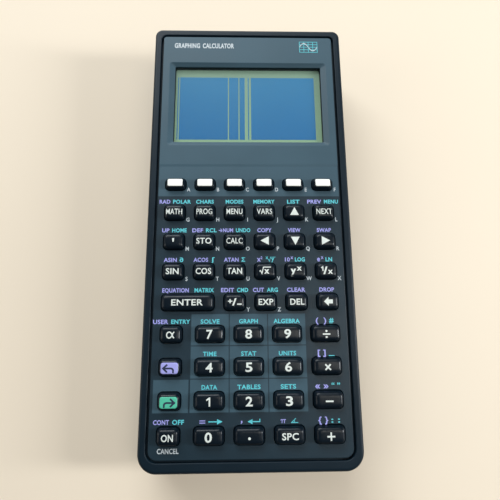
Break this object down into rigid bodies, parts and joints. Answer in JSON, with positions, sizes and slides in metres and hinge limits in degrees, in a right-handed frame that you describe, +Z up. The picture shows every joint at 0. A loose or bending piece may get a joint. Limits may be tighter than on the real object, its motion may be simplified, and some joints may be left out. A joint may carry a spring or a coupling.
{
  "type": "graphing calculator",
  "caption": "Handheld graphing calculator: a wedge-shaped two-shell body with a recessed wide display, rows of domed sprung keys, and slide-off battery and card covers beneath.",
  "frame": {"origin": "middle of the footprint, on the plane that the feet stand on", "axes": "+X to the right across the keys, +Y from the keys towards the display, +Z up out of the face"},
  "size_m": [0.081, 0.1802, 0.029],
  "materials": {
    "case_dark": "fine-textured dark grey moulding",
    "face_slate": "fine-textured slate and charcoal printed face",
    "key_black": "satin near-black caps",
    "key_white": "satin off-white caps on black skirts",
    "key_lavender": "satin lavender cap",
    "key_mint": "satin mint cap",
    "clear_pane": "clear glossy pane",
    "display_glass": "sage green liquid crystal glass with blue dots",
    "board_green": "green solder-masked board",
    "mat_rubber": "matt dark rubber sheet",
    "foot_rubber": "matt black rubber",
    "cell_wrap": "printed film over steel cans, bright ends"
  },
  "bodies": {
    "root": {"front_case": "case_dark", "rear_case": "case_dark", "face_plate": "face_slate", "display_window": "clear_pane", "display_module": "display_glass", "circuit_board": "board_green", "key_mat": "mat_rubber", "battery_cells": "cell_wrap", "rubber_feet": "foot_rubber"},
    "battery_door": {"battery_door": "case_dark"},
    "card_port_cover": {"card_port_cover": "case_dark"},
    "key_menu_1": {"key_menu_1": "key_white"},
    "key_menu_2": {"key_menu_2": "key_white"},
    "key_menu_3": {"key_menu_3": "key_white"},
    "key_menu_4": {"key_menu_4": "key_white"},
    "key_menu_5": {"key_menu_5": "key_white"},
    "key_menu_6": {"key_menu_6": "key_white"},
    "key_maths": {"key_maths": "key_black"},
    "key_program": {"key_program": "key_black"},
    "key_custom": {"key_custom": "key_black"},
    "key_variables": {"key_variables": "key_black"},
    "key_arrow_up": {"key_arrow_up": "key_black"},
    "key_next": {"key_next": "key_black"},
    "key_quote": {"key_quote": "key_black"},
    "key_store": {"key_store": "key_black"},
    "key_evaluate": {"key_evaluate": "key_black"},
    "key_arrow_left": {"key_arrow_left": "key_black"},
    "key_arrow_down": {"key_arrow_down": "key_black"},
    "key_arrow_right": {"key_arrow_right": "key_black"},
    "key_sine": {"key_sine": "key_black"},
    "key_cosine": {"key_cosine": "key_black"},
    "key_tangent": {"key_tangent": "key_black"},
    "key_square_root": {"key_square_root": "key_black"},
    "key_power": {"key_power": "key_black"},
    "key_reciprocal": {"key_reciprocal": "key_black"},
    "key_enter": {"key_enter": "key_black"},
    "key_sign": {"key_sign": "key_black"},
    "key_exponent": {"key_exponent": "key_black"},
    "key_delete": {"key_delete": "key_black"},
    "key_backspace": {"key_backspace": "key_black"},
    "key_alpha": {"key_alpha": "key_black"},
    "key_7": {"key_7": "key_black"},
    "key_8": {"key_8": "key_black"},
    "key_9": {"key_9": "key_black"},
    "key_divide": {"key_divide": "key_black"},
    "key_shift_left": {"key_shift_left": "key_lavender"},
    "key_4": {"key_4": "key_black"},
    "key_5": {"key_5": "key_black"},
    "key_6": {"key_6": "key_black"},
    "key_multiply": {"key_multiply": "key_black"},
    "key_shift_right": {"key_shift_right": "key_mint"},
    "key_1": {"key_1": "key_black"},
    "key_2": {"key_2": "key_black"},
    "key_3": {"key_3": "key_black"},
    "key_subtract": {"key_subtract": "key_black"},
    "key_on": {"key_on": "key_black"},
    "key_0": {"key_0": "key_black"},
    "key_decimal": {"key_decimal": "key_black"},
    "key_space": {"key_space": "key_black"},
    "key_add": {"key_add": "key_black"}
  },
  "joints": [
    {"name": "battery_door_slide", "type": "slide", "parent": "root", "child": "battery_door", "axis": [0, -1, 0], "range_m": [0, 0.06]},
    {"name": "card_port_cover_slide", "type": "slide", "parent": "root", "child": "card_port_cover", "axis": [0, 1, 0], "range_m": [0, 0.05]},
    {"name": "key_menu_1_press", "type": "slide", "parent": "root", "child": "key_menu_1", "axis": [0, 0.0436, -0.999], "range_m": [0, 0.001], "stiffness_N_per_m": 400},
    {"name": "key_menu_2_press", "type": "slide", "parent": "root", "child": "key_menu_2", "axis": [0, 0.0436, -0.999], "range_m": [0, 0.001], "stiffness_N_per_m": 400},
    {"name": "key_menu_3_press", "type": "slide", "parent": "root", "child": "key_menu_3", "axis": [0, 0.0436, -0.999], "range_m": [0, 0.001], "stiffness_N_per_m": 400},
    {"name": "key_menu_4_press", "type": "slide", "parent": "root", "child": "key_menu_4", "axis": [0, 0.0436, -0.999], "range_m": [0, 0.001], "stiffness_N_per_m": 400},
    {"name": "key_menu_5_press", "type": "slide", "parent": "root", "child": "key_menu_5", "axis": [0, 0.0436, -0.999], "range_m": [0, 0.001], "stiffness_N_per_m": 400},
    {"name": "key_menu_6_press", "type": "slide", "parent": "root", "child": "key_menu_6", "axis": [0, 0.0436, -0.999], "range_m": [0, 0.001], "stiffness_N_per_m": 400},
    {"name": "key_maths_press", "type": "slide", "parent": "root", "child": "key_maths", "axis": [0, 0.0436, -0.999], "range_m": [0, 0.001], "stiffness_N_per_m": 400},
    {"name": "key_program_press", "type": "slide", "parent": "root", "child": "key_program", "axis": [0, 0.0436, -0.999], "range_m": [0, 0.001], "stiffness_N_per_m": 400},
    {"name": "key_custom_press", "type": "slide", "parent": "root", "child": "key_custom", "axis": [0, 0.0436, -0.999], "range_m": [0, 0.001], "stiffness_N_per_m": 400},
    {"name": "key_variables_press", "type": "slide", "parent": "root", "child": "key_variables", "axis": [0, 0.0436, -0.999], "range_m": [0, 0.001], "stiffness_N_per_m": 400},
    {"name": "key_arrow_up_press", "type": "slide", "parent": "root", "child": "key_arrow_up", "axis": [0, 0.0436, -0.999], "range_m": [0, 0.001], "stiffness_N_per_m": 400},
    {"name": "key_next_press", "type": "slide", "parent": "root", "child": "key_next", "axis": [0, 0.0436, -0.999], "range_m": [0, 0.001], "stiffness_N_per_m": 400},
    {"name": "key_quote_press", "type": "slide", "parent": "root", "child": "key_quote", "axis": [0, 0.0436, -0.999], "range_m": [0, 0.001], "stiffness_N_per_m": 400},
    {"name": "key_store_press", "type": "slide", "parent": "root", "child": "key_store", "axis": [0, 0.0436, -0.999], "range_m": [0, 0.001], "stiffness_N_per_m": 400},
    {"name": "key_evaluate_press", "type": "slide", "parent": "root", "child": "key_evaluate", "axis": [0, 0.0436, -0.999], "range_m": [0, 0.001], "stiffness_N_per_m": 400},
    {"name": "key_arrow_left_press", "type": "slide", "parent": "root", "child": "key_arrow_left", "axis": [0, 0.0436, -0.999], "range_m": [0, 0.001], "stiffness_N_per_m": 400},
    {"name": "key_arrow_down_press", "type": "slide", "parent": "root", "child": "key_arrow_down", "axis": [0, 0.0436, -0.999], "range_m": [0, 0.001], "stiffness_N_per_m": 400},
    {"name": "key_arrow_right_press", "type": "slide", "parent": "root", "child": "key_arrow_right", "axis": [0, 0.0436, -0.999], "range_m": [0, 0.001], "stiffness_N_per_m": 400},
    {"name": "key_sine_press", "type": "slide", "parent": "root", "child": "key_sine", "axis": [0, 0.0436, -0.999], "range_m": [0, 0.001], "stiffness_N_per_m": 400},
    {"name": "key_cosine_press", "type": "slide", "parent": "root", "child": "key_cosine", "axis": [0, 0.0436, -0.999], "range_m": [0, 0.001], "stiffness_N_per_m": 400},
    {"name": "key_tangent_press", "type": "slide", "parent": "root", "child": "key_tangent", "axis": [0, 0.0436, -0.999], "range_m": [0, 0.001], "stiffness_N_per_m": 400},
    {"name": "key_square_root_press", "type": "slide", "parent": "root", "child": "key_square_root", "axis": [0, 0.0436, -0.999], "range_m": [0, 0.001], "stiffness_N_per_m": 400},
    {"name": "key_power_press", "type": "slide", "parent": "root", "child": "key_power", "axis": [0, 0.0436, -0.999], "range_m": [0, 0.001], "stiffness_N_per_m": 400},
    {"name": "key_reciprocal_press", "type": "slide", "parent": "root", "child": "key_reciprocal", "axis": [0, 0.0436, -0.999], "range_m": [0, 0.001], "stiffness_N_per_m": 400},
    {"name": "key_enter_press", "type": "slide", "parent": "root", "child": "key_enter", "axis": [0, 0.0436, -0.999], "range_m": [0, 0.001], "stiffness_N_per_m": 400},
    {"name": "key_sign_press", "type": "slide", "parent": "root", "child": "key_sign", "axis": [0, 0.0436, -0.999], "range_m": [0, 0.001], "stiffness_N_per_m": 400},
    {"name": "key_exponent_press", "type": "slide", "parent": "root", "child": "key_exponent", "axis": [0, 0.0436, -0.999], "range_m": [0, 0.001], "stiffness_N_per_m": 400},
    {"name": "key_delete_press", "type": "slide", "parent": "root", "child": "key_delete", "axis": [0, 0.0436, -0.999], "range_m": [0, 0.001], "stiffness_N_per_m": 400},
    {"name": "key_backspace_press", "type": "slide", "parent": "root", "child": "key_backspace", "axis": [0, 0.0436, -0.999], "range_m": [0, 0.001], "stiffness_N_per_m": 400},
    {"name": "key_alpha_press", "type": "slide", "parent": "root", "child": "key_alpha", "axis": [0, 0.0436, -0.999], "range_m": [0, 0.001], "stiffness_N_per_m": 400},
    {"name": "key_7_press", "type": "slide", "parent": "root", "child": "key_7", "axis": [0, 0.0436, -0.999], "range_m": [0, 0.001], "stiffness_N_per_m": 400},
    {"name": "key_8_press", "type": "slide", "parent": "root", "child": "key_8", "axis": [0, 0.0436, -0.999], "range_m": [0, 0.001], "stiffness_N_per_m": 400},
    {"name": "key_9_press", "type": "slide", "parent": "root", "child": "key_9", "axis": [0, 0.0436, -0.999], "range_m": [0, 0.001], "stiffness_N_per_m": 400},
    {"name": "key_divide_press", "type": "slide", "parent": "root", "child": "key_divide", "axis": [0, 0.0436, -0.999], "range_m": [0, 0.001], "stiffness_N_per_m": 400},
    {"name": "key_shift_left_press", "type": "slide", "parent": "root", "child": "key_shift_left", "axis": [0, 0.0436, -0.999], "range_m": [0, 0.001], "stiffness_N_per_m": 400},
    {"name": "key_4_press", "type": "slide", "parent": "root", "child": "key_4", "axis": [0, 0.0436, -0.999], "range_m": [0, 0.001], "stiffness_N_per_m": 400},
    {"name": "key_5_press", "type": "slide", "parent": "root", "child": "key_5", "axis": [0, 0.0436, -0.999], "range_m": [0, 0.001], "stiffness_N_per_m": 400},
    {"name": "key_6_press", "type": "slide", "parent": "root", "child": "key_6", "axis": [0, 0.0436, -0.999], "range_m": [0, 0.001], "stiffness_N_per_m": 400},
    {"name": "key_multiply_press", "type": "slide", "parent": "root", "child": "key_multiply", "axis": [0, 0.0436, -0.999], "range_m": [0, 0.001], "stiffness_N_per_m": 400},
    {"name": "key_shift_right_press", "type": "slide", "parent": "root", "child": "key_shift_right", "axis": [0, 0.0436, -0.999], "range_m": [0, 0.001], "stiffness_N_per_m": 400},
    {"name": "key_1_press", "type": "slide", "parent": "root", "child": "key_1", "axis": [0, 0.0436, -0.999], "range_m": [0, 0.001], "stiffness_N_per_m": 400},
    {"name": "key_2_press", "type": "slide", "parent": "root", "child": "key_2", "axis": [0, 0.0436, -0.999], "range_m": [0, 0.001], "stiffness_N_per_m": 400},
    {"name": "key_3_press", "type": "slide", "parent": "root", "child": "key_3", "axis": [0, 0.0436, -0.999], "range_m": [0, 0.001], "stiffness_N_per_m": 400},
    {"name": "key_subtract_press", "type": "slide", "parent": "root", "child": "key_subtract", "axis": [0, 0.0436, -0.999], "range_m": [0, 0.001], "stiffness_N_per_m": 400},
    {"name": "key_on_press", "type": "slide", "parent": "root", "child": "key_on", "axis": [0, 0.0436, -0.999], "range_m": [0, 0.001], "stiffness_N_per_m": 400},
    {"name": "key_0_press", "type": "slide", "parent": "root", "child": "key_0", "axis": [0, 0.0436, -0.999], "range_m": [0, 0.001], "stiffness_N_per_m": 400},
    {"name": "key_decimal_press", "type": "slide", "parent": "root", "child": "key_decimal", "axis": [0, 0.0436, -0.999], "range_m": [0, 0.001], "stiffness_N_per_m": 400},
    {"name": "key_space_press", "type": "slide", "parent": "root", "child": "key_space", "axis": [0, 0.0436, -0.999], "range_m": [0, 0.001], "stiffness_N_per_m": 400},
    {"name": "key_add_press", "type": "slide", "parent": "root", "child": "key_add", "axis": [0, 0.0436, -0.999], "range_m": [0, 0.001], "stiffness_N_per_m": 400}
  ]
}
